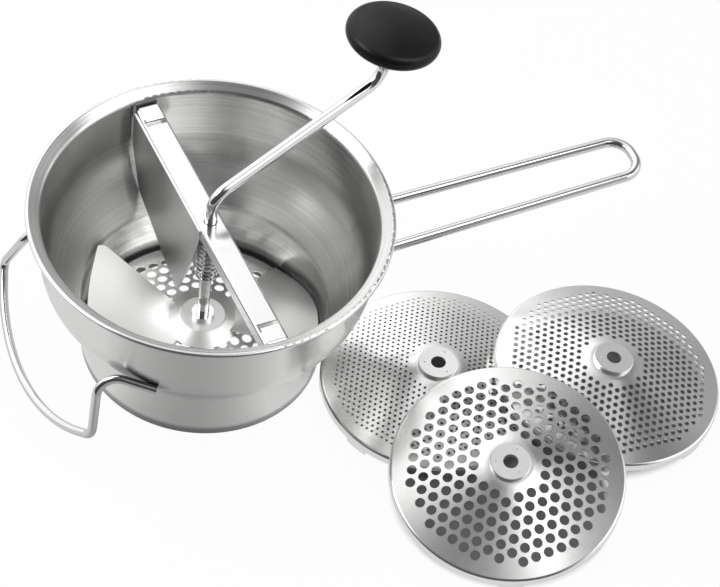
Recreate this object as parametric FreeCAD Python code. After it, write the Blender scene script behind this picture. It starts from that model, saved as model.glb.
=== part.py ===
"""Hand-cranked food mill with its sieve in place and three spare sieve discs, in millimetres.

The origin is on the bowl's axis at floor level, with +Z up. The long handle points along +X,
the support handle along -X, and the crossbar runs along Y.
"""

import FreeCAD, Part
import math
import os

V = FreeCAD.Vector
UP = V(0, 0, 1)
CENTRE = V(0, 0, 0)

# A cut runs this far past the face it opens, and a sharp corner has this bend
CUT_PAST = 1.0
SHARP = 0.01

# Bowl: a spun sheet with a narrow foot, a cone, an upper band and a flared lip
RIM_RADIUS = 120.0
RIM_HEIGHT = 130.0
LIP_RISE = 5.0
HEM_DROP = 2.2
BAND_RADIUS = 111.0
CORNER_RADIUS = 109.5
CORNER_HEIGHT = 77.0
WAIST_RADIUS = 82.5
WAIST_HEIGHT = 44.0
FOOT_RADIUS = 80.0
LEDGE_RADIUS = 71.0
WALL = 0.9
FOOT_BEND = 2.2
WAIST_BEND = 6.0
CORNER_BEND = 42.0
LIP_BEND = 2.5
HEM_BEND = 1.0

# Long handle: one wire bent into a narrow loop
HANDLE_WIRE = 7.0
HANDLE_HEIGHT = 67.0
HANDLE_END = 317.5
HANDLE_SPREAD = 39.3
HANDLE_END_SPREAD = 32.6
HANDLE_BEND = 14.5

# Support handle: a wire that steps over a pot's edge and hangs down in a bow
SUPPORT_WIRE = 6.0
SUPPORT_END_ANGLE = 50.0
SUPPORT_END_HEIGHT = 74.0
SUPPORT_HUMP_OUT = 101.0
SUPPORT_HUMP_HEIGHT = 81.0
SUPPORT_HUMP_SPREAD = 62.0
SUPPORT_CORNER_OUT = 111.0
SUPPORT_CORNER_HEIGHT = 40.0
SUPPORT_CORNER_SPREAD = 78.0
SUPPORT_BOW_OUT = 32.0
SUPPORT_BOW_DROP = 50.5
SUPPORT_HUMP_BEND = 14.0
SUPPORT_CORNER_BEND = 7.0
SUPPORT_BOW_BEND = 112.0

# Weld collars round the handle wires
WELD_LENGTH = 3.0
WELD_SWELL = 1.6
WELD_EDGE = 0.1

# Crossbar: an inverted channel held down by two hooks on the bowl's wall
BAR_TOP = 121.0
BAR_WIDTH = 17.2
BAR_DEPTH = 10.0
BAR_SHEET = 1.2
BAR_BEND = 2.0
BAR_END_GAP = 3.5
WINDOW_INSET = 9.0
WINDOW_LENGTH = 7.0
WINDOW_WIDTH = 14.4
HOOK_WIDTH = 12.6
HOOK_SHEET = 1.2
HOOK_LEG = 13.0
HOOK_DIP = 2.6
HOOK_BEND = 1.6
WALL_GAP = 0.05

# Deflector: a plate welded to one flange of the bar, clear of the turning blade
PLATE_SHEET = 1.2
PLATE_TOP_DROP = 2.0
PLATE_WALL_GAP = 2.0
PLATE_INNER_REACH = 4.0
PLATE_LOW_RADIUS = 91.5
PLATE_KNEE = 92.0
PLATE_TIP_OUT = 24.0
PLATE_TIP_HEIGHT = 32.0
PLATE_RISE = 0.407
PLATE_WAIST_OUT = 10.0
PLATE_WAIST_HEIGHT = 63.0

# Crank: one rod that is the blade's shaft, the arm and the knob's spindle
ROD = 8.0
ROD_GAP = 0.5
CRANK_TURN = 15.5
CRANK_BEND_HEIGHT = 143.0
CRANK_REACH = 138.5
CRANK_RISE = 28.0
CRANK_LOW_BEND = 14.0
CRANK_TOP_BEND = 18.0
SPINDLE_LEAN = 10.0

# Knob: a mushroom that turns on the spindle
KNOB_RADIUS = 31.8
KNOB_HEIGHT = 28.0
KNOB_NECK_RADIUS = 11.5
KNOB_CAP_UNDERSIDE = 12.5
KNOB_EDGE_HEIGHT = 17.5
KNOB_FLARE_SHARE = 0.35
KNOB_UNDER_SHARE = 0.86
KNOB_SWEEP_SHARE = 0.44
KNOB_SWEEP_LEVEL = 0.82
KNOB_SHOULDER_SHARE = 0.84
KNOB_SHOULDER_LEVEL = 0.62
KNOB_START = 17.0
KNOB_BORE_DEPTH = 23.0
RUNNING_FIT = 0.06
STOP_RING_RADIUS = 6.5
STOP_RING_HEIGHT = 1.5

# Spring between the bar and a washer that a pin holds on the shaft
SPRING_WIRE = 1.4
SPRING_RADIUS = 6.2
SPRING_PITCH = 4.4
SPRING_GAP = 0.1
WASHER_RADIUS = 7.0
WASHER_SHEET = 1.2
SEAT_HEIGHT = 70.0
PIN_DIAMETER = 2.4
PIN_FIT = 0.03
PIN_OVERHANG = 1.8

# Sieve discs: a pressed cone with a skirt, eight tabs and a pivot plate
DISC_RADIUS = 77.5
DISC_SHEET = 0.8
DISC_SKIRT = 8.5
DISC_RISE = 0.23
DISC_EDGE_BEND = 1.6
TAB_COUNT = 8
TAB_HEIGHT = 3.0
TAB_WIDTH = 18.0
TAB_TAPER = 1.5
PIVOT_RADIUS = 13.5
PIVOT_HOLE = 10.0
PIVOT_SHEET = 2.5
PIVOT_BEVEL = 0.6
SPOT_COUNT = 3
SPOT_CIRCLE = 9.6
SPOT_TURN = 40.0
SPOT_RADIUS = 0.8
SPOT_DEPTH = 0.5
CROWN_MARGIN = 1.5
PLAIN_CENTRE = 19.0
PLAIN_BAND = 8.0
COARSE_HOLE = 6.5
COARSE_PITCH = 9.0
MEDIUM_HOLE = 3.2
MEDIUM_PITCH = 5.3
FINE_HOLE = 1.8
FINE_PITCH = 4.0
DISC_SECTORS = 6
GAP_REACH = 1.4

# Blade: two wings that climb from the sieve, round a dished hub
BLADE_SHEET = 1.2
BLADE_GAP = 0.6
BLADE_HUB_RADIUS = 15.0
BLADE_DISH_RADIUS = 25.0
WING_START = 126.0
WING_SWEEP = 80.0
WING_INNER = 21.0
WING_OUTER = 76.5
WING_TIP = 82.0
WING_TIP_BEND = 7.0
WING_PLATE_CLEARANCE = 5.5
WING_CURVE = 1.25
WING_TIP_SHARE = 0.25
WING_SECTIONS = 6
HUB_RING_RADIUS = 7.4
HUB_RING_HEIGHT = 3.0
SHAFT_TAIL = 4.0

# Spare discs: one flat on the floor, two leaning on what lies before them
SPARE_GAP = 2.5
SPARE_FINE_TURN = -34.5
SPARE_MEDIUM_OVERLAP = 42.0
SPARE_MEDIUM_TURN = -22.0
SPARE_COARSE_OVERLAP = 58.5
SPARE_COARSE_TURN = -87.0
SPARE_COARSE_LEAN = 62.0
REST_GAP = 0.4

# Values that follow from the driving dimensions
SIEVE_BASE = WALL
HOOK_HEIGHT = BAR_TOP + HOOK_SHEET
CONE_TOP_RADIUS = PIVOT_RADIUS + CROWN_MARGIN
DISC_TOP = DISC_SKIRT + DISC_RISE * (DISC_RADIUS - CONE_TOP_RADIUS)
PIVOT_TOP = DISC_TOP + PIVOT_SHEET
HUB_BASE = SIEVE_BASE + PIVOT_TOP + BLADE_GAP
HUB_TOP = HUB_BASE + BLADE_SHEET
SHAFT_BOTTOM = SIEVE_BASE + DISC_TOP - SHAFT_TAIL
SPRING_TOP = BAR_TOP - BAR_SHEET - WASHER_SHEET


def polar(radius, angle, z=0.0):
    """A point at an angle in degrees round the Z axis."""
    turn = math.radians(angle)
    return V(radius * math.cos(turn), radius * math.sin(turn), z)


def bent_path(points, bends):
    """A wire of straight runs with a tangent arc of its own radius at each inner point."""
    edges = []
    last = points[0]
    for before, corner, after, bend in zip(points, points[1:], points[2:], bends):
        back = (before - corner).normalize()
        ahead = (after - corner).normalize()
        half = back.getAngle(ahead) / 2.0
        setback = bend / math.tan(half)
        middle = (back + ahead).normalize()
        start = corner + back * setback
        end = corner + ahead * setback
        crown = corner + middle * (bend / math.sin(half) - bend)
        edges.append(Part.makeLine(last, start))
        edges.append(Part.Arc(start, crown, end).toShape())
        last = end
    edges.append(Part.makeLine(last, points[-1]))
    return Part.Wire(edges)


def rod(points, bends, diameter):
    """A round rod along a bent path."""
    path = bent_path(points, bends)
    ring = Part.makeCircle(diameter / 2.0, points[0], points[1] - points[0])
    return path.makePipe(Part.Face(Part.Wire(ring)))


def sheet_section(points, bends, sheet):
    """The flat section of a bent sheet, laid to the left of a path in the XZ plane."""
    path = bent_path(points, bends)
    return path.makeOffset2D(sheet, 0, True, True, False)


def ring(inner, outer, low, height):
    """A plain ring about the Z axis."""
    body = Part.makeCylinder(outer, height, V(0, 0, low))
    return body.cut(Part.makeCylinder(inner, height, V(0, 0, low)))


def bowl_points():
    """The outside of the bowl's wall from the ledge to the turned-down hem, as radius and height."""
    edge = RIM_RADIUS - WALL
    return [
        V(LEDGE_RADIUS, 0, 0),
        V(FOOT_RADIUS, 0, 0),
        V(WAIST_RADIUS, 0, WAIST_HEIGHT),
        V(CORNER_RADIUS, 0, CORNER_HEIGHT),
        V(BAND_RADIUS, 0, RIM_HEIGHT - LIP_RISE),
        V(edge, 0, RIM_HEIGHT - WALL),
        V(edge, 0, RIM_HEIGHT - WALL - HEM_DROP),
    ]


def bowl_bends():
    return [FOOT_BEND, WAIST_BEND, CORNER_BEND, LIP_BEND, HEM_BEND]


def band_radius(z):
    """The outside radius of the bowl's upper band at a height."""
    share = (z - CORNER_HEIGHT) / (RIM_HEIGHT - LIP_RISE - CORNER_HEIGHT)
    return CORNER_RADIUS + share * (BAND_RADIUS - CORNER_RADIUS)


def wall_radius(z):
    """The outside radius of the bowl's rounded wall at a height."""
    level = Part.makeLine(V(0, 0, z), V(RIM_RADIUS, 0, z))
    return level.section(bent_path(bowl_points(), bowl_bends())).Vertexes[0].X


def make_bowl():
    section = sheet_section(bowl_points(), bowl_bends(), WALL)
    return section.revolve(CENTRE, UP, 360)


def bowl_block():
    """The bowl up to its lip as one filled body, for trimming what meets the wall outside."""
    points = bowl_points()[1:5]
    top = points[-1].z
    side = bent_path([V(0, 0, 0)] + points + [V(0, 0, top)], bowl_bends()[:3] + [SHARP])
    closed = Part.Wire(side.Edges + [Part.makeLine(V(0, 0, top), V(0, 0, 0))])
    return Part.Face(closed).revolve(CENTRE, UP, 360)


def long_handle_points():
    start = wall_radius(HANDLE_HEIGHT) - HANDLE_WIRE
    return [
        V(start, HANDLE_SPREAD / 2, HANDLE_HEIGHT),
        V(HANDLE_END, HANDLE_END_SPREAD / 2, HANDLE_HEIGHT),
        V(HANDLE_END, -HANDLE_END_SPREAD / 2, HANDLE_HEIGHT),
        V(start, -HANDLE_SPREAD / 2, HANDLE_HEIGHT),
    ]


def make_long_handle():
    bar = rod(long_handle_points(), [HANDLE_BEND, HANDLE_BEND], HANDLE_WIRE)
    return bar.cut(bowl_block())


def support_points():
    """The support wire's route: along the wall, over the hump, down to the corner and round the bow."""
    lie = wall_radius(SUPPORT_END_HEIGHT) + SUPPORT_WIRE / 2
    end = polar(lie, 180 - SUPPORT_END_ANGLE, SUPPORT_END_HEIGHT)
    hump = V(-SUPPORT_HUMP_OUT, SUPPORT_HUMP_SPREAD, SUPPORT_HUMP_HEIGHT)
    corner = V(-SUPPORT_CORNER_OUT, SUPPORT_CORNER_SPREAD, SUPPORT_CORNER_HEIGHT)
    bow = V(-SUPPORT_CORNER_OUT - SUPPORT_BOW_OUT, 0, SUPPORT_CORNER_HEIGHT - SUPPORT_BOW_DROP)
    half = [end, hump, corner]
    other = [V(p.x, -p.y, p.z) for p in reversed(half)]
    return half + [bow] + other


def make_support_handle():
    side = [SUPPORT_HUMP_BEND, SUPPORT_CORNER_BEND]
    bends = side + [SUPPORT_BOW_BEND] + side[::-1]
    return rod(support_points(), bends, SUPPORT_WIRE).cut(bowl_block())


def weld_collar(point, along, wire):
    """A short swelling of weld metal round a wire where it meets the wall."""
    swollen = wire / 2 + WELD_SWELL
    back = point - along * WELD_LENGTH
    collar = Part.makeCylinder(swollen, WELD_LENGTH, back, along)
    collar = collar.fuse(Part.makeCone(swollen, wire / 2 + WELD_EDGE, WELD_LENGTH, point, along))
    bore = Part.makeCylinder(wire / 2, 2 * WELD_LENGTH, back, along)
    return collar.cut([bore, bowl_block()])


def make_handle_welds():
    """Weld collars at the two ends of the long handle."""
    collars = []
    for start, after in (long_handle_points()[:2], long_handle_points()[:1:-1]):
        along = (after - start).normalize()
        reach = math.sqrt(wall_radius(HANDLE_HEIGHT) ** 2 - start.y ** 2)
        point = start + along * ((reach - start.x) / along.x)
        collars.append(weld_collar(point, along, HANDLE_WIRE))
    return Part.Compound(collars)


def bar_half_length():
    return band_radius(BAR_TOP) - WALL - BAR_END_GAP


def make_crossbar():
    half = BAR_WIDTH / 2
    low = BAR_TOP - BAR_DEPTH
    length = 2 * bar_half_length()
    corners = [V(half, 0, low), V(half, 0, BAR_TOP), V(-half, 0, BAR_TOP), V(-half, 0, low)]
    section = sheet_section(corners, [BAR_BEND, BAR_BEND], BAR_SHEET)
    bar = section.extrude(V(0, length, 0))
    bar.translate(V(0, -length / 2, 0))
    cuts = [Part.makeCylinder(ROD / 2 + ROD_GAP, BAR_DEPTH, V(0, 0, low + BAR_SHEET))]
    for side in (1, -1):
        middle = side * (bar_half_length() - WINDOW_INSET - WINDOW_LENGTH / 2)
        corner = V(-WINDOW_WIDTH / 2, middle - WINDOW_LENGTH / 2, BAR_TOP - BAR_SHEET - CUT_PAST)
        cuts.append(Part.makeBox(WINDOW_WIDTH, WINDOW_LENGTH, BAR_SHEET + 2 * CUT_PAST, corner))
    return bar.cut(cuts)


def make_hook():
    """A strip on the wall at +Y that reaches over the bar's end and dips into its window."""
    wall = band_radius(HOOK_HEIGHT - HOOK_LEG) - WALL
    back = math.sqrt(wall ** 2 - (HOOK_WIDTH / 2) ** 2) - WALL_GAP
    tip = bar_half_length() - WINDOW_INSET - WINDOW_LENGTH / 2
    route = [
        V(back, 0, HOOK_HEIGHT - HOOK_LEG),
        V(back, 0, HOOK_HEIGHT),
        V(tip, 0, HOOK_HEIGHT),
        V(tip, 0, HOOK_HEIGHT - HOOK_DIP),
    ]
    section = sheet_section(route, [HOOK_BEND + HOOK_SHEET, HOOK_BEND], HOOK_SHEET)
    hook = section.extrude(V(0, HOOK_WIDTH, 0))
    hook.translate(V(0, -HOOK_WIDTH / 2, 0))
    hook.rotate(CENTRE, UP, 90)
    return hook


def turned(shape, angle):
    copy = shape.copy()
    copy.rotate(CENTRE, UP, angle)
    return copy


def make_deflector():
    """The plate's outline in the YZ plane, extruded from the bar's flange."""
    face = -BAR_WIDTH / 2
    top = BAR_TOP - PLATE_TOP_DROP
    out = band_radius(CORNER_HEIGHT) - WALL - PLATE_WALL_GAP
    low = PLATE_TIP_HEIGHT + PLATE_RISE * (PLATE_LOW_RADIUS - PLATE_TIP_OUT)
    tip = V(face, PLATE_TIP_OUT, PLATE_TIP_HEIGHT)
    inner = V(face, -PLATE_INNER_REACH, top)
    waist = V(face, PLATE_WAIST_OUT, PLATE_WAIST_HEIGHT)
    straight = Part.makePolygon([
        inner, V(face, out, top), V(face, out, PLATE_KNEE), V(face, PLATE_LOW_RADIUS, low), tip,
    ])
    curve = Part.Arc(tip, waist, inner).toShape()
    outline = Part.Face(Part.Wire(straight.Edges + [curve]))
    return outline.extrude(V(-PLATE_SHEET, 0, 0))


def spindle_frame():
    """The knob's axis: its foot on the crank's top bend and its direction."""
    foot = polar(CRANK_REACH, CRANK_TURN, CRANK_BEND_HEIGHT + CRANK_RISE)
    lean = math.radians(SPINDLE_LEAN)
    along = polar(math.sin(lean), CRANK_TURN, math.cos(lean))
    return foot, along


def cross_pin(fit):
    """The pin through the shaft under the lower washer, swollen by a fit for its hole."""
    length = ROD + 2 * PIN_OVERHANG
    level = SEAT_HEIGHT - WASHER_SHEET - PIN_DIAMETER / 2 - PIN_FIT
    return Part.makeCylinder(PIN_DIAMETER / 2 + fit, length, V(-length / 2, 0, level), V(1, 0, 0))


def make_crank():
    foot, along = spindle_frame()
    points = [
        V(0, 0, SHAFT_BOTTOM),
        V(0, 0, CRANK_BEND_HEIGHT),
        foot,
        foot + along * (knob_start() + KNOB_BORE_DEPTH),
    ]
    return rod(points, [CRANK_LOW_BEND, CRANK_TOP_BEND], ROD).cut(cross_pin(PIN_FIT))


def on_spindle(shape, height):
    """Stands a shape made about Z on the knob's axis, at a height above its foot."""
    foot, along = spindle_frame()
    turn = FreeCAD.Rotation(UP, along)
    copy = shape.copy()
    copy.Placement = FreeCAD.Placement(foot + along * height, turn)
    return copy


def knob_start():
    return KNOB_START + STOP_RING_HEIGHT


def make_knob():
    bore = ROD / 2 + RUNNING_FIT
    deep = KNOB_BORE_DEPTH + RUNNING_FIT
    neck = V(KNOB_NECK_RADIUS, 0, 0)
    flare = V(KNOB_NECK_RADIUS, 0, KNOB_CAP_UNDERSIDE * KNOB_FLARE_SHARE)
    under = V(KNOB_RADIUS * KNOB_UNDER_SHARE, 0, KNOB_CAP_UNDERSIDE)
    edge = V(KNOB_RADIUS, 0, KNOB_EDGE_HEIGHT)
    high = KNOB_EDGE_HEIGHT + (KNOB_HEIGHT - KNOB_EDGE_HEIGHT) * KNOB_SHOULDER_LEVEL
    shoulder = V(KNOB_RADIUS * KNOB_SHOULDER_SHARE, 0, high)
    crown = V(0, 0, KNOB_HEIGHT)
    rise = KNOB_HEIGHT - shoulder.z
    ball = (shoulder.x ** 2 + rise ** 2) / (2 * rise)
    half = math.asin(shoulder.x / ball) / 2
    dome = V(ball * math.sin(half), 0, KNOB_HEIGHT - ball * (1 - math.cos(half)))
    sweep = V((neck.x + under.x) * KNOB_SWEEP_SHARE, 0, KNOB_CAP_UNDERSIDE * KNOB_SWEEP_LEVEL)
    edges = [
        Part.makeLine(V(bore, 0, 0), neck),
        Part.makeLine(neck, flare),
        Part.Arc(flare, sweep, under).toShape(),
        Part.Arc(under, edge, shoulder).toShape(),
        Part.Arc(shoulder, dome, crown).toShape(),
        Part.makeLine(crown, V(0, 0, deep)),
        Part.makeLine(V(0, 0, deep), V(bore, 0, deep)),
        Part.makeLine(V(bore, 0, deep), V(bore, 0, 0)),
    ]
    knob = Part.Face(Part.Wire(edges)).revolve(CENTRE, UP, 360)
    return on_spindle(knob, knob_start())


def make_stop_ring():
    """The ring on the spindle that the knob turns on."""
    height = STOP_RING_HEIGHT - RUNNING_FIT
    return on_spindle(ring(ROD / 2, STOP_RING_RADIUS, 0, height), KNOB_START)


def make_upper_washer():
    return ring(ROD / 2 + ROD_GAP, WASHER_RADIUS, SPRING_TOP, WASHER_SHEET)


def make_lower_washer():
    return ring(ROD / 2 + RUNNING_FIT, WASHER_RADIUS, SEAT_HEIGHT - WASHER_SHEET, WASHER_SHEET)


def make_spring():
    """A helix of round wire between the two washers."""
    low = SEAT_HEIGHT + SPRING_WIRE / 2 + SPRING_GAP
    high = SPRING_TOP - SPRING_WIRE / 2 - SPRING_GAP
    helix = Part.makeHelix(SPRING_PITCH, high - low, SPRING_RADIUS)
    helix.translate(V(0, 0, low))
    start = V(SPRING_RADIUS, 0, low)
    rise = SPRING_PITCH / (2 * math.pi)
    section = Part.makeCircle(SPRING_WIRE / 2, start, V(0, SPRING_RADIUS, rise))
    return Part.Wire(helix.Edges).makePipeShell([Part.Wire(section)], True, True)


def disc_height(radius):
    """The top of a sieve's cone above the disc's own tabs."""
    return DISC_SKIRT + DISC_RISE * (DISC_RADIUS - radius)


def lattice(pitch, inner, outer):
    """Centres of a triangular pattern of holes over one sector of a ring."""
    row = pitch * math.sqrt(3) / 2
    reach = int(outer / row) + 1
    span = 360.0 / DISC_SECTORS
    slack = math.degrees(pitch / inner)
    centres = []
    for j in range(0, reach + 1):
        for i in range(-reach, reach + 1):
            spot = V(pitch * (i + 0.5 * (j % 2)), row * j, 0)
            angle = math.degrees(math.atan2(spot.y, spot.x))
            if inner < spot.Length < outer and -slack < angle < span + slack:
                centres.append(spot)
                if j > 0 and angle < slack:
                    centres.append(V(spot.x, -spot.y, 0))
    return centres


def disc_sheet(angle):
    """The pressed sheet of a sieve disc over an angle, without holes or gaps between tabs."""
    hole = PIVOT_HOLE / 2
    outer = [
        V(DISC_RADIUS, 0, 0),
        V(DISC_RADIUS, 0, DISC_SKIRT),
        V(CONE_TOP_RADIUS, 0, DISC_TOP),
        V(hole, 0, DISC_TOP),
    ]
    section = sheet_section(outer, [DISC_EDGE_BEND + DISC_SHEET, PLAIN_CENTRE], DISC_SHEET)
    return section.revolve(CENTRE, UP, angle)


def tab_gaps():
    """Wedges that leave tapered tabs round the skirt."""
    step = 360.0 / TAB_COUNT
    far = GAP_REACH * DISC_RADIUS
    wedges = []
    for n in range(TAB_COUNT):
        middle = n * step
        ends = []
        for level, width in ((-CUT_PAST, TAB_WIDTH - 2 * TAB_TAPER), (TAB_HEIGHT, TAB_WIDTH)):
            half = step / 2 - math.degrees(width / 2 / DISC_RADIUS)
            low = polar(far, middle - half, level)
            high = polar(far, middle + half, level)
            ends.append(Part.makePolygon([V(0, 0, level), low, high, V(0, 0, level)]))
        wedges.append(Part.makeLoft(ends, True, True))
    return wedges


def make_sieve(hole, pitch):
    """A sieve disc: one perforated sector, repeated round the axis and trimmed to its tabs."""
    span = 360.0 / DISC_SECTORS
    inner = PLAIN_CENTRE + hole / 2
    outer = DISC_RADIUS - PLAIN_BAND - hole / 2
    height = DISC_TOP + DISC_SKIRT
    punches = [Part.makeCylinder(hole / 2, height, c) for c in lattice(pitch, inner, outer)]
    sector = disc_sheet(span).cut(punches)
    sectors = [turned(sector, n * span) for n in range(DISC_SECTORS)]
    return sectors[0].fuse(sectors[1:]).cut(tab_gaps())


def make_pivot_plate():
    """The flat plate spot-welded on a sieve's crown, with three spot marks."""
    plate = ring(PIVOT_HOLE / 2, PIVOT_RADIUS, DISC_TOP, PIVOT_SHEET)
    upper = [e for e in plate.Edges if e.CenterOfMass.z > PIVOT_TOP - PIVOT_BEVEL]
    rim = max(upper, key=lambda edge: edge.Length)
    plate = plate.makeChamfer(PIVOT_BEVEL, [rim])
    for n in range(SPOT_COUNT):
        spot = polar(SPOT_CIRCLE, SPOT_TURN + n * 360.0 / SPOT_COUNT, PIVOT_TOP - SPOT_DEPTH)
        plate = plate.cut(Part.makeCylinder(SPOT_RADIUS, SPOT_DEPTH + CUT_PAST, spot))
    return plate


def wing_level(radius, share):
    """The underside of a wing: from its raised leading edge down to just above the sieve."""
    plate = PLATE_TIP_HEIGHT + PLATE_RISE * (radius - PLATE_TIP_OUT)
    lead = plate - WING_PLATE_CLEARANCE - BLADE_SHEET
    rest = SIEVE_BASE + disc_height(radius) + BLADE_GAP
    return rest + (max(lead, rest) - rest) * (1 - share) ** WING_CURVE


def wing_outer(share):
    """A wing reaches furthest at its leading edge, where the bowl widens."""
    return WING_OUTER + (WING_TIP - WING_OUTER) * max(0.0, 1 - share / WING_TIP_SHARE)


def wing_section(share):
    angle = WING_START + WING_SWEEP * share
    outer = wing_outer(share)
    low_in = wing_level(WING_INNER, share)
    low_out = wing_level(outer, share)
    corners = [
        polar(WING_INNER, angle, low_in),
        polar(outer, angle, low_out),
        polar(outer, angle, low_out + BLADE_SHEET),
        polar(WING_INNER, angle, low_in + BLADE_SHEET),
    ]
    return Part.makePolygon(corners + corners[:1])


def tip_waste():
    """What is cut off a wing's leading corner to round it, as an upright prism."""
    corner = polar(WING_TIP, WING_START)
    inward = polar(-1, WING_START)
    onward = polar(1, WING_START + 90)
    middle = corner + (inward + onward) * WING_TIP_BEND
    start = corner - (inward + onward) * CUT_PAST
    square = Part.makePolygon([
        start, middle - onward * (WING_TIP_BEND + CUT_PAST), middle,
        middle - inward * (WING_TIP_BEND + CUT_PAST), start,
    ])
    block = Part.Face(square).extrude(UP * BAR_TOP)
    return block.cut(Part.makeCylinder(WING_TIP_BEND, BAR_TOP, middle))


def make_blade():
    """A dished hub with two wings half a turn apart."""
    dish_low = SIEVE_BASE + disc_height(BLADE_DISH_RADIUS) + BLADE_GAP
    slope = [
        V(BLADE_DISH_RADIUS, 0, dish_low),
        V(BLADE_HUB_RADIUS, 0, HUB_BASE),
        V(ROD / 2, 0, HUB_BASE),
    ]
    dish = sheet_section(slope, [BLADE_SHEET], -BLADE_SHEET).revolve(CENTRE, UP, 360)
    shares = [n / (WING_SECTIONS - 1) for n in range(WING_SECTIONS)]
    wing = Part.makeLoft([wing_section(s) for s in shares], True, False).cut(tip_waste())
    return dish.fuse([wing, turned(wing, 180)])


def make_hub_ring():
    return ring(ROD / 2, HUB_RING_RADIUS, HUB_TOP, HUB_RING_HEIGHT)


def leaning(centre, toward, lift):
    """A placement for a disc whose edge on one side is lifted while the other stays on the floor."""
    tilt = math.degrees(math.asin(lift / (2 * DISC_RADIUS)))
    axis = polar(1, toward - 90)
    hinge = centre - polar(DISC_RADIUS, toward)
    turn = FreeCAD.Rotation(axis, tilt)
    return FreeCAD.Placement(hinge + turn.multVec(centre - hinge), turn)


def top_of(place, x, y):
    """The height of a placed disc's upper side at a point of the floor, or zero beside it."""
    z = 0.0
    for _ in range(5):
        near = place.inverse().multVec(V(x, y, z))
        out = math.hypot(near.x, near.y)
        z += (disc_height(out) if out > PIVOT_RADIUS else PIVOT_TOP) - near.z
    return z if out < DISC_RADIUS else 0.0


def lift_over(places, centre, toward):
    """How far a disc's edge must rise to lie on the discs under it."""
    lift = 0.0
    for degrees in range(-90, 91, 3):
        rim = centre + polar(DISC_RADIUS, toward + degrees)
        share = (1 + math.cos(math.radians(degrees))) / 2
        need = max(top_of(place, rim.x, rim.y) for place in places)
        if need > 0:
            lift = max(lift, (need + REST_GAP) / share)
    return lift


def spare_places():
    """The fine disc beside the bowl, the medium one leaning on it, the coarse one on both."""
    first = polar(FOOT_RADIUS + DISC_RADIUS + SPARE_GAP, SPARE_FINE_TURN)
    flat = FreeCAD.Placement(first, FreeCAD.Rotation())
    apart = 2 * DISC_RADIUS - SPARE_MEDIUM_OVERLAP
    second = first + polar(apart, SPARE_MEDIUM_TURN)
    toward = SPARE_MEDIUM_TURN + 180
    medium = leaning(second, toward, lift_over([flat], second, toward))
    apart = 2 * DISC_RADIUS - SPARE_COARSE_OVERLAP
    third = first + polar(apart, SPARE_COARSE_TURN)
    coarse = leaning(third, SPARE_COARSE_LEAN, lift_over([flat, medium], third, SPARE_COARSE_LEAN))
    return flat, medium, coarse


def placed(shape, place):
    copy = shape.copy()
    copy.Placement = place
    return copy


def write(name, shape):
    shape.exportStep(os.path.join("parts", name + ".step"))


def main():
    os.makedirs("parts", exist_ok=True)
    write("bowl", make_bowl())
    write("long_handle", make_long_handle())
    write("support_handle", make_support_handle())
    write("handle_welds", make_handle_welds())
    write("crossbar", make_crossbar())
    write("hook_rear", make_hook())
    write("hook_front", turned(make_hook(), 180))
    write("deflector_plate", make_deflector())
    write("crank", make_crank())
    write("knob", make_knob())
    write("knob_stop_ring", make_stop_ring())
    write("spring", make_spring())
    write("upper_washer", make_upper_washer())
    write("lower_washer", make_lower_washer())
    write("shaft_pin", cross_pin(0.0))
    write("blade", make_blade())
    write("hub_ring", make_hub_ring())
    pivot = make_pivot_plate()
    coarse = make_sieve(COARSE_HOLE, COARSE_PITCH)
    medium = make_sieve(MEDIUM_HOLE, MEDIUM_PITCH)
    fine = make_sieve(FINE_HOLE, FINE_PITCH)
    inside = FreeCAD.Placement(V(0, 0, SIEVE_BASE), FreeCAD.Rotation())
    names = ("sieve", "spare_fine", "spare_medium", "spare_coarse")
    discs = (coarse, fine, medium, coarse)
    for name, disc, place in zip(names, discs, (inside,) + spare_places()):
        write(name + "_disc", placed(disc, place))
        write(name + "_pivot", placed(pivot, place))


main()
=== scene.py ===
import math

import bpy
from mathutils import Matrix, Vector


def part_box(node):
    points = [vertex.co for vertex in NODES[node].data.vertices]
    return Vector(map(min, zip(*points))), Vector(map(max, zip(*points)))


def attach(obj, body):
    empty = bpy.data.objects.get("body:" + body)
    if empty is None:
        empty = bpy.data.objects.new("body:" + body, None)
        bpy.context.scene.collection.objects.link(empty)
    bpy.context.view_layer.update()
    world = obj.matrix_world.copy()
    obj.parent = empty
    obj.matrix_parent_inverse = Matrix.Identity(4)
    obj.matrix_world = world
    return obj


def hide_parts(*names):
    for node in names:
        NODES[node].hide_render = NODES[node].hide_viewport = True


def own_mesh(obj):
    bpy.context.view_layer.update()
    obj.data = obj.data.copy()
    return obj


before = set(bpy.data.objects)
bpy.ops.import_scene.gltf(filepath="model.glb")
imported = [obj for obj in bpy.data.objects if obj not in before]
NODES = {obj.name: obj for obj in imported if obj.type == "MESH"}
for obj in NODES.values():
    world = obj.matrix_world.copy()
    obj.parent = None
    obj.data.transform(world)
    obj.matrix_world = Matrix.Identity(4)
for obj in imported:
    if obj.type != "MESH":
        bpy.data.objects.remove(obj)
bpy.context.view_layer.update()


# Camera, fitted to the rim, the foot, the crossbar and the handles in the photograph
ELEVATION = math.radians(49.2)
ROLL = math.radians(7.71)
TURN = math.radians(-30.3)
EYE_ACROSS = -0.10713
EYE_UP = -0.03173
EYE_AWAY = 2.5
SENSOR_MM = 36.0
LENS_MM = 186.33
SIGHT_END = 50.0


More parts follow.
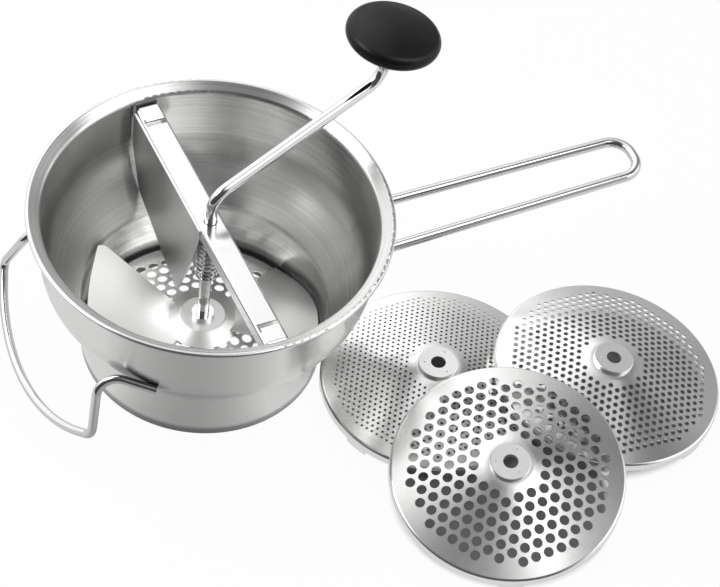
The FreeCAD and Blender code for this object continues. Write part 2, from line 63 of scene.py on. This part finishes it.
def make_camera():
    turn = Matrix.Rotation(TURN, 3, "Z")
    across = Vector((1, 0, 0))
    ahead = Vector((0, math.cos(ELEVATION), -math.sin(ELEVATION)))
    upward = across.cross(ahead)
    right = across * math.cos(ROLL) + upward * math.sin(ROLL)
    up = upward * math.cos(ROLL) - across * math.sin(ROLL)
    eye = -(right * EYE_ACROSS + up * EYE_UP + ahead * EYE_AWAY)
    right, up, ahead, eye = (turn @ v for v in (right, up, ahead, eye))
    data = bpy.data.cameras.new("camera")
    data.sensor_fit = "HORIZONTAL"
    data.sensor_width = SENSOR_MM
    data.lens = LENS_MM
    data.clip_end = SIGHT_END
    camera = bpy.data.objects.new("camera", data)
    pose = Matrix((right, up, -ahead)).transposed().to_4x4()
    pose.translation = eye
    camera.matrix_world = pose
    bpy.context.scene.collection.objects.link(camera)
    bpy.context.scene.camera = camera


# Where a tone starts and ends to change over a field of noise, and over brushed lines
TONE_LOW, TONE_HIGH = 0.3, 0.7
LINE_LOW, LINE_HIGH = 0.35, 0.65


# Small helpers for node trees
def node(tree, kind, **sockets):
    made = tree.nodes.new(kind)
    for name, value in sockets.items():
        key = int(name[1:]) if name[0] == "i" and name[1:].isdigit() else name.replace("_", " ")
        if hasattr(value, "is_output"):
            tree.links.new(value, made.inputs[key])
        else:
            made.inputs[key].default_value = value
    return made


def math_node(tree, operation, a, b=0.0):
    made = tree.nodes.new("ShaderNodeMath")
    made.operation = operation
    for n, value in enumerate((a, b)):
        if hasattr(value, "is_output"):
            tree.links.new(value, made.inputs[n])
        else:
            made.inputs[n].default_value = value
    return made.outputs[0]


def remap(tree, value, low, high):
    made = node(tree, "ShaderNodeMapRange", Value=value, To_Min=low, To_Max=high)
    return made.outputs[0]


def ramp(tree, value, stops):
    made = node(tree, "ShaderNodeValToRGB", Fac=value)
    band = made.color_ramp
    while len(band.elements) < len(stops):
        band.elements.new(0.5)
    for element, (at, colour) in zip(band.elements, stops):
        element.position = at
        element.color = (*colour, 1.0)
    return made.outputs["Color"]


def new_material(name):
    made = bpy.data.materials.new(name)
    made.use_nodes = True
    tree = made.node_tree
    shader = tree.nodes["Principled BSDF"]
    return made, tree, shader


def noise(tree, vector, scale, detail=3.0, roughness=0.5):
    made = node(tree, "ShaderNodeTexNoise", Vector=vector, Scale=scale, Detail=detail,
                Roughness=roughness)
    return made.outputs["Fac"]


def bump(tree, shader, height, strength, distance):
    made = node(tree, "ShaderNodeBump", Height=height, Strength=strength, Distance=distance)
    tree.links.new(made.outputs[0], shader.inputs["Normal"])


def object_coords(tree):
    return tree.nodes.new("ShaderNodeTexCoord").outputs["Object"]


def stretched(tree, vector, scale):
    made = node(tree, "ShaderNodeMapping", Vector=vector)
    made.inputs["Scale"].default_value = scale
    return made.outputs[0]


def blend(tree, a, b, share):
    """A sum of two fields, of which the first counts for a share."""
    return math_node(tree, "ADD", math_node(tree, "MULTIPLY", a, share),
                     math_node(tree, "MULTIPLY", b, 1.0 - share))


def mix_colours(tree, share, first, second):
    mix = tree.nodes.new("ShaderNodeMix")
    mix.data_type = "RGBA"
    for socket, value in ((0, share), (6, first), (7, second)):
        if hasattr(value, "is_output"):
            tree.links.new(value, mix.inputs[socket])
        else:
            mix.inputs[socket].default_value = value
    return mix.outputs[2]


def round_axis(tree):
    """Radius, height and turn about the upright axis, as coordinates for brushed lines."""
    parts = node(tree, "ShaderNodeSeparateXYZ", Vector=object_coords(tree))
    x, y, z = (parts.outputs[n] for n in "XYZ")
    squares = [math_node(tree, "POWER", value, 2.0) for value in (x, y)]
    radius = math_node(tree, "POWER", math_node(tree, "ADD", *squares), 0.5)
    turn = math_node(tree, "ARCTAN2", y, x)
    return radius, z, turn


# Brushed lines: spacing of the finest lines per metre, then for each of two fields how fast it
# changes along a line and its spacing as a share of the finest
LINES_PER_METRE = 1000.0
LINE_FIELDS = ((0.7, 1.0), (0.25, 0.3))
LINE_SHARE = 0.6
GRAIN_DISTANCE = 0.0002


def brushed_lines(tree):
    """Fine long lines that run round the upright axis, with a little slow unevenness along them."""
    radius, z, turn = round_axis(tree)
    wide = math_node(tree, "COSINE", turn)
    deep = math_node(tree, "SINE", turn)
    level = math_node(tree, "ADD", radius, z)
    fields = []
    for along, spacing in LINE_FIELDS:
        around = node(tree, "ShaderNodeCombineXYZ", X=math_node(tree, "MULTIPLY", wide, along),
                      Y=math_node(tree, "MULTIPLY", deep, along),
                      Z=math_node(tree, "MULTIPLY", level, LINES_PER_METRE * spacing))
        fields.append(noise(tree, around.outputs[0], 1.0, 3.0, 0.6))
    return blend(tree, *fields, LINE_SHARE)


QUARTER_TURN = 0.25


def radial_tangent(tree, shader):
    """Spreads the highlight across lines that run round the upright axis."""
    tangent = tree.nodes.new("ShaderNodeTangent")
    tangent.direction_type = "RADIAL"
    tangent.axis = "Z"
    tree.links.new(tangent.outputs[0], shader.inputs["Tangent"])
    shader.inputs["Anisotropic Rotation"].default_value = QUARTER_TURN


CLOUDS_PER_METRE = 22.0
CLOUD_DIM = 0.93


def steel(name, colour, rough, spread, grain, depth):
    """Stainless steel: slight clouding in tone and roughness, and fine lines in the finish."""
    made, tree, shader = new_material(name)
    shader.inputs["Metallic"].default_value = 1.0
    cloud = noise(tree, object_coords(tree), CLOUDS_PER_METRE, 3.0)
    lines = noise(tree, stretched(tree, object_coords(tree), grain), 1.0, 4.0, 0.6)
    mixed = blend(tree, cloud, lines, 0.5)
    dim = tuple(c * CLOUD_DIM for c in colour)
    tone = ramp(tree, mixed, [(TONE_LOW, dim), (TONE_HIGH, colour)])
    tree.links.new(tone, shader.inputs["Base Color"])
    tree.links.new(remap(tree, mixed, rough - spread, rough + spread), shader.inputs["Roughness"])
    bump(tree, shader, lines, depth, GRAIN_DISTANCE)
    return made


FACING_FADE = 0.01


def facing_out(tree):
    """One where a surface faces away from the upright axis, zero where it faces the axis."""
    geometry = tree.nodes.new("ShaderNodeNewGeometry")
    flat = node(tree, "ShaderNodeVectorMath", i0=object_coords(tree), i1=(1, 1, 0))
    flat.operation = "MULTIPLY"
    outward = node(tree, "ShaderNodeVectorMath", i0=flat.outputs[0], i1=geometry.outputs["Normal"])
    outward.operation = "DOT_PRODUCT"
    made = node(tree, "ShaderNodeMapRange", Value=outward.outputs["Value"],
                From_Min=-FACING_FADE, From_Max=FACING_FADE)
    return made.outputs[0]


# Painted shade in creases: how far a crease looks about itself, the openness it starts and ends at, its
# deepest painted shade
CREASE_REACH = 0.010
CREASE_RANGE = (0.86, 0.97)
CREASE_SHADE_TONE = 0.40
CREASE_SAMPLES = 8


def crease_shade(tree, colour):
    """Deepens a colour with painted shade in narrow creases, where ambient occlusion finds the surface
    closed in.
    """
    shade = node(tree, "ShaderNodeAmbientOcclusion", Color=colour, Distance=CREASE_REACH)
    shade.samples = CREASE_SAMPLES
    low, high = CREASE_RANGE
    depth = node(tree, "ShaderNodeMapRange", Value=shade.outputs["AO"], From_Min=low,
                 From_Max=high, To_Min=CREASE_SHADE_TONE, To_Max=1.0).outputs[0]
    made = node(tree, "ShaderNodeVectorMath", i0=colour, i1=depth)
    made.operation = "MULTIPLY"
    return made.outputs[0]


# Bowl: tones inside and outside, each with how far its lines dim, and the finish
BOWL_TONES = (((0.80, 0.80, 0.79), 0.78), ((0.78, 0.78, 0.77), 0.95))
BOWL_ROUGH = 0.25
BOWL_ROUGH_SPREAD = 0.025
BOWL_GRAIN = 0.03
BOWL_ANISOTROPIC = 0.85


def bowl_steel():
    """Steel brushed round the upright axis: clear lines inside the bowl, a smoother satin outside."""
    made, tree, shader = new_material("bowl_brushed")
    shader.inputs["Metallic"].default_value = 1.0
    shader.inputs["Anisotropic"].default_value = BOWL_ANISOTROPIC
    radial_tangent(tree, shader)
    lines = brushed_lines(tree)
    tones = [ramp(tree, lines, [(LINE_LOW, tuple(c * dim for c in colour)), (LINE_HIGH, colour)])
             for colour, dim in BOWL_TONES]
    mixed = mix_colours(tree, facing_out(tree), *tones)
    # The bowl's colour carries painted shade in its creases.
    tree.links.new(crease_shade(tree, mixed), shader.inputs["Base Color"])
    rough = remap(tree, lines, BOWL_ROUGH - BOWL_ROUGH_SPREAD, BOWL_ROUGH + BOWL_ROUGH_SPREAD)
    tree.links.new(rough, shader.inputs["Roughness"])
    bump(tree, shader, lines, BOWL_GRAIN, GRAIN_DISTANCE)
    return made


# Knob: darkest and palest tone, range of roughness, strength of the sheen and of the fine grain
KNOB_TONES = (0.006, 0.010)
KNOB_ROUGH = (0.26, 0.34)
KNOB_SHEEN = 0.20
KNOB_CLOUDS_PER_METRE = 40.0
KNOB_GRAIN_PER_METRE = 1500.0
KNOB_GRAIN = 0.08
KNOB_GRAIN_DISTANCE = 0.0001


def black_plastic():
    made, tree, shader = new_material("knob_black")
    coords = object_coords(tree)
    cloud = noise(tree, coords, KNOB_CLOUDS_PER_METRE, 2.0)
    dark, pale = ((tone,) * 3 for tone in KNOB_TONES)
    tree.links.new(ramp(tree, cloud, [(TONE_LOW, dark), (TONE_HIGH, pale)]), shader.inputs["Base Color"])
    tree.links.new(remap(tree, cloud, *KNOB_ROUGH), shader.inputs["Roughness"])
    shader.inputs["Specular IOR Level"].default_value = KNOB_SHEEN
    grain = noise(tree, coords, KNOB_GRAIN_PER_METRE, 2.0)
    bump(tree, shader, grain, KNOB_GRAIN, KNOB_GRAIN_DISTANCE)
    return made


def paint(name, material):
    slots = NODES[name].data.materials
    if len(slots):
        slots[0] = material
    else:
        slots.append(material)
    for extra in range(1, len(slots)):
        slots[extra] = material


# Surroundings, with the level directions across and ahead as the main view sees them
RIGHT = Vector((0.8634, -0.5045, 0.0))
AHEAD = Vector((0.5045, 0.8634, 0.0))
UP = Vector((0, 0, 1))


# Patches of the studio: across, ahead and up as the main view sees them, start and end of the fade,
# strength
STUDIO = (
    (-0.80, 0.55, 0.55, 0.50, 0.93, 1.35),
    (-0.15, 0.60, 0.90, 0.85, 0.98, 0.45),
    (0.00, 0.95, 0.35, 0.86, 0.98, 0.45),
    (0.72, 0.62, 0.38, 0.84, 0.97, 0.30),
    (1.00, 0.05, 0.20, 0.70, 0.97, 1.20),
    (0.30, -0.10, 0.95, 0.85, 0.98, 0.18),
)
SKY_PATCH = (0.0, 0.0, 1.0, 0.1, 0.8, 0.04)
BASE_LIGHT = 0.06


def lobe(tree, direction, across, ahead, upward, start, end, strength):
    """A soft patch of light in the surroundings, given by where it stands round the part."""
    axis = (RIGHT * across + AHEAD * ahead + UP * upward).normalized()
    dot = node(tree, "ShaderNodeVectorMath", i0=direction, i1=axis)
    dot.operation = "DOT_PRODUCT"
    made = node(tree, "ShaderNodeMapRange", Value=dot.outputs["Value"], From_Min=start,
                From_Max=end, To_Max=strength)
    made.interpolation_type = "SMOOTHSTEP"
    return made.outputs[0]


def make_world():
    world = bpy.data.worlds.new("studio")
    bpy.context.scene.world = world
    world.use_nodes = True
    tree = world.node_tree
    tree.nodes.clear()
    direction = tree.nodes.new("ShaderNodeTexCoord").outputs["Generated"]
    light = lobe(tree, direction, *SKY_PATCH)
    for patch in STUDIO:
        light = math_node(tree, "ADD", light, lobe(tree, direction, *patch))
    light = math_node(tree, "ADD", light, BASE_LIGHT)
    studio = node(tree, "ShaderNodeBackground", Color=light, Strength=1.0)
    white = node(tree, "ShaderNodeBackground", Color=(1, 1, 1, 1), Strength=1.0)
    rays = tree.nodes.new("ShaderNodeLightPath")
    mix = node(tree, "ShaderNodeMixShader", Fac=rays.outputs["Is Camera Ray"],
               i1=studio.outputs[0], i2=white.outputs[0])
    out = tree.nodes.new("ShaderNodeOutputWorld")
    tree.links.new(mix.outputs[0], out.inputs["Surface"])


# Floor: half its width, its level, tones of the open floor and of the painted shadow under the spare
# discs, the edge of that painted shadow, how white the eye and a reflection find it, and how the floor's
# glow in a reflection dims towards the front, a painted shade
FLOOR_REACH = 6.0
FLOOR_LEVEL = -0.0004
FLOOR_TONES = (0.86, 0.88)
FLOOR_CLOUDS_PER_METRE = 3.0
FLOOR_ROUGH = 0.9
FLOOR_SHEEN = 0.1
PAINTED_SHADOW_TONE = 0.26
PAINTED_SHADOW_EDGE = (0.076, 0.066)
SEEN_WHITE = 0.96
PAINTED_REFLECTION_WHITE = 0.9
FRONT_FADE = (0.7, 1.0)
REFLECTION_GLOW_FRONT_SHADE = (0.85, 0.40)


def painted_disc_shadow(tree, coords):
    """Mask of the painted shadow on the floor: one under the spare discs, where holes alone show the
    floor, and zero elsewhere.
    """
    shade = 0.0
    for name in ("spare_fine_disc", "spare_medium_disc", "spare_coarse_disc"):
        low, high = (Vector(corner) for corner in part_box(name))
        middle = (low + high) / 2
        away = node(tree, "ShaderNodeVectorMath", i0=coords, i1=(middle.x, middle.y, 0))
        away.operation = "DISTANCE"
        outer, inner = PAINTED_SHADOW_EDGE
        inside = node(tree, "ShaderNodeMapRange", Value=away.outputs["Value"], From_Min=outer,
                      From_Max=inner, To_Min=0.0, To_Max=1.0).outputs[0]
        shade = math_node(tree, "MAXIMUM", inside, shade)
    return shade


def make_floor():
    mesh = bpy.data.meshes.new("floor")
    corners = [(x * FLOOR_REACH, y * FLOOR_REACH, FLOOR_LEVEL)
               for x, y in ((-1, -1), (1, -1), (1, 1), (-1, 1))]
    mesh.from_pydata(corners, [], [(0, 1, 2, 3)])
    floor = bpy.data.objects.new("floor", mesh)
    bpy.context.scene.collection.objects.link(floor)
    made, tree, shader = new_material("floor_white")
    coords = object_coords(tree)
    tone = noise(tree, coords, FLOOR_CLOUDS_PER_METRE)
    under = painted_disc_shadow(tree, coords)
    low, high = ((value,) * 3 for value in FLOOR_TONES)
    pale = ramp(tree, tone, [(TONE_LOW, low), (TONE_HIGH, high)])
    # Painted shadow: the floor's colour is darkened under the spare discs.
    floor_tone_with_painted_shadow = mix_colours(tree, under, pale, (PAINTED_SHADOW_TONE, PAINTED_SHADOW_TONE, PAINTED_SHADOW_TONE, 1))
    tree.links.new(floor_tone_with_painted_shadow, shader.inputs["Base Color"])
    shader.inputs["Roughness"].default_value = FLOOR_ROUGH
    shader.inputs["Specular IOR Level"].default_value = FLOOR_SHEEN
    glow = node(tree, "ShaderNodeEmission", Color=(1, 1, 1, 1), Strength=1.0)
    rays = tree.nodes.new("ShaderNodeLightPath")
    # No white glow for the eye under the spare discs, so the painted shadow shows through their holes.
    open_floor = math_node(tree, "SUBTRACT", 1.0, under)
    seen = math_node(tree, "MULTIPLY", rays.outputs["Is Camera Ray"],
                     math_node(tree, "MULTIPLY", open_floor, SEEN_WHITE))
    bearing = node(tree, "ShaderNodeVectorMath", i0=coords)
    bearing.operation = "NORMALIZE"
    front = node(tree, "ShaderNodeVectorMath", i0=bearing.outputs[0], i1=-AHEAD)
    front.operation = "DOT_PRODUCT"
    # Painted shade in reflections: the floor's glow dims towards the front of the mill.
    away = node(tree, "ShaderNodeMapRange", Value=front.outputs["Value"],
                From_Min=FRONT_FADE[0], From_Max=FRONT_FADE[1],
                To_Min=REFLECTION_GLOW_FRONT_SHADE[0], To_Max=REFLECTION_GLOW_FRONT_SHADE[1]).outputs[0]
    # Painted reflection: glossy rays find the floor mostly as a white glow, though the floor is no lamp.
    painted_reflection_glow = math_node(tree, "MULTIPLY", rays.outputs["Is Glossy Ray"],
                      math_node(tree, "MULTIPLY", open_floor, PAINTED_REFLECTION_WHITE))
    whiteness = math_node(tree, "MAXIMUM", away, rays.outputs["Is Camera Ray"])
    tree.links.new(whiteness, glow.inputs["Strength"])
    share = math_node(tree, "MAXIMUM", seen, painted_reflection_glow)
    mix = node(tree, "ShaderNodeMixShader", Fac=share, i1=shader.outputs[0], i2=glow.outputs[0])
    out = tree.nodes["Material Output"]
    tree.links.new(mix.outputs[0], out.inputs["Surface"])
    mesh.materials.append(made)


def area_light(name, place, aim, size, power, spread):
    data = bpy.data.lights.new(name, "AREA")
    data.shape = "RECTANGLE"
    data.size, data.size_y = size
    data.energy = power
    data.spread = spread
    lamp = bpy.data.objects.new(name, data)
    lamp.location = place
    lamp.rotation_euler = (Vector(aim) - Vector(place)).to_track_quat("-Z", "Y").to_euler()
    bpy.context.scene.collection.objects.link(lamp)


# Lamps: name, place, aim, width and depth, power, spread of the beam
LAMPS = (
    ("key", (-1.2, 0.6, 1.7), (0.05, 0, 0.1), (1.2, 0.9), 14.0, math.pi),
    ("fill", (1.3, -0.9, 1.3), (0.05, 0, 0.1), (0.7, 0.7), 2.0, math.pi),
    ("overhead", (0.172, -0.158, 0.507), (-0.04, 0.03, 0.035), (0.45, 0.45), 0.17, math.radians(55)),
)


def make_lights():
    for lamp in LAMPS:
        area_light(*lamp)


def tube(name, points, radius, sides):
    """A mesh tube along points, closed at both ends."""
    rings = []
    for n, point in enumerate(points):
        ahead = (points[min(n + 1, len(points) - 1)] - points[max(n - 1, 0)]).normalized()
        out = Vector((point.x, point.y, 0)).normalized()
        side = ahead.cross(out).normalized()
        rings.append([point + (out * math.cos(a) + side * math.sin(a)) * radius
                      for a in (2 * math.pi * k / sides for k in range(sides))])
    corners = [corner for ring in rings for corner in ring]
    faces = []
    for n in range(len(points) - 1):
        for k in range(sides):
            here, there, after = n * sides, (n + 1) * sides, (k + 1) % sides
            faces.append((here + k, here + after, there + after, there + k))
    faces.append(tuple(range(sides)))
    faces.append(tuple(len(corners) - 1 - k for k in range(sides)))
    mesh = bpy.data.meshes.new(name)
    mesh.from_pydata(corners, [], faces)
    mesh.shade_smooth()
    made = bpy.data.objects.new(name, mesh)
    bpy.context.scene.collection.objects.link(made)
    return made


# Spring: radius of its wire, turns, share of a turn that lies closed at each end, and points and sides
# of its tube
SPRING_WIRE = 0.0007
SPRING_TURNS = 12.0
SPRING_CLOSED = 0.9
SPRING_POINTS = 420
SPRING_SIDES = 12


def make_spring(material):
    """The coil under the bar, with closed end turns."""
    low, high = (Vector(corner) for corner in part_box("spring"))
    radius = high.x - SPRING_WIRE
    height = high.z - low.z - 2 * SPRING_WIRE
    thick = 2 * SPRING_WIRE
    points = []
    for n in range(SPRING_POINTS + 1):
        turned = SPRING_TURNS * n / SPRING_POINTS
        rise = (turned - SPRING_CLOSED) / (SPRING_TURNS - 2 * SPRING_CLOSED)
        level = thick * min(turned, SPRING_CLOSED) / SPRING_CLOSED
        level += min(max(rise, 0.0), 1.0) * (height - 2 * thick)
        level += thick * max(turned - SPRING_TURNS + SPRING_CLOSED, 0.0) / SPRING_CLOSED
        angle = 2 * math.pi * turned
        points.append(Vector((radius * math.cos(angle), radius * math.sin(angle),
                              low.z + SPRING_WIRE + level)))
    coil = tube("spring_coil", points, SPRING_WIRE, SPRING_SIDES)
    coil.data.materials.append(material)
    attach(coil, "mill")
    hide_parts("spring")
    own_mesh(coil)


make_camera()
make_world()
make_floor()
make_lights()

# Plain steels: name, tone, roughness and its spread, lines per metre along each axis, depth of the grain
polished = steel("polished_steel", (0.84, 0.84, 0.84), 0.08, 0.03, (300, 300, 300), 0.02)
wires = steel("polished_wire", (0.68, 0.68, 0.68), 0.10, 0.03, (300, 300, 300), 0.02)
bar = steel("bar_steel", (0.80, 0.80, 0.80), 0.18, 0.04, (900, 40, 900), 0.03)
sheet = steel("rolled_sheet", (0.88, 0.88, 0.87), 0.34, 0.04, (60, 900, 60), 0.03)
pressed = steel("pressed_sheet", (0.82, 0.82, 0.81), 0.40, 0.04, (60, 900, 60), 0.03)
sieve = steel("sieve_satin", (0.84, 0.84, 0.83), 0.24, 0.04, (400, 400, 400), 0.03)
spring_wire = steel("spring_wire", (0.45, 0.45, 0.45), 0.22, 0.05, (500, 500, 500), 0.04)
FINISHES = (
    (bowl_steel(), ("bowl",)),
    (polished, ("hook_rear", "hook_front", "crank", "knob_stop_ring", "upper_washer", "lower_washer",
                "shaft_pin", "hub_ring")),
    (wires, ("long_handle", "support_handle", "handle_welds")),
    (bar, ("crossbar",)),
    (pressed, ("blade",)),
    (sheet, ("deflector_plate", "sieve_pivot", "spare_fine_pivot", "spare_medium_pivot",
             "spare_coarse_pivot")),
    (sieve, ("sieve_disc", "spare_fine_disc", "spare_medium_disc", "spare_coarse_disc")),
    (black_plastic(), ("knob",)),
)
for finish, names in FINISHES:
    for name in names:
        paint(name, finish)
make_spring(spring_wire)

bpy.context.scene.view_settings.view_transform = "Standard"
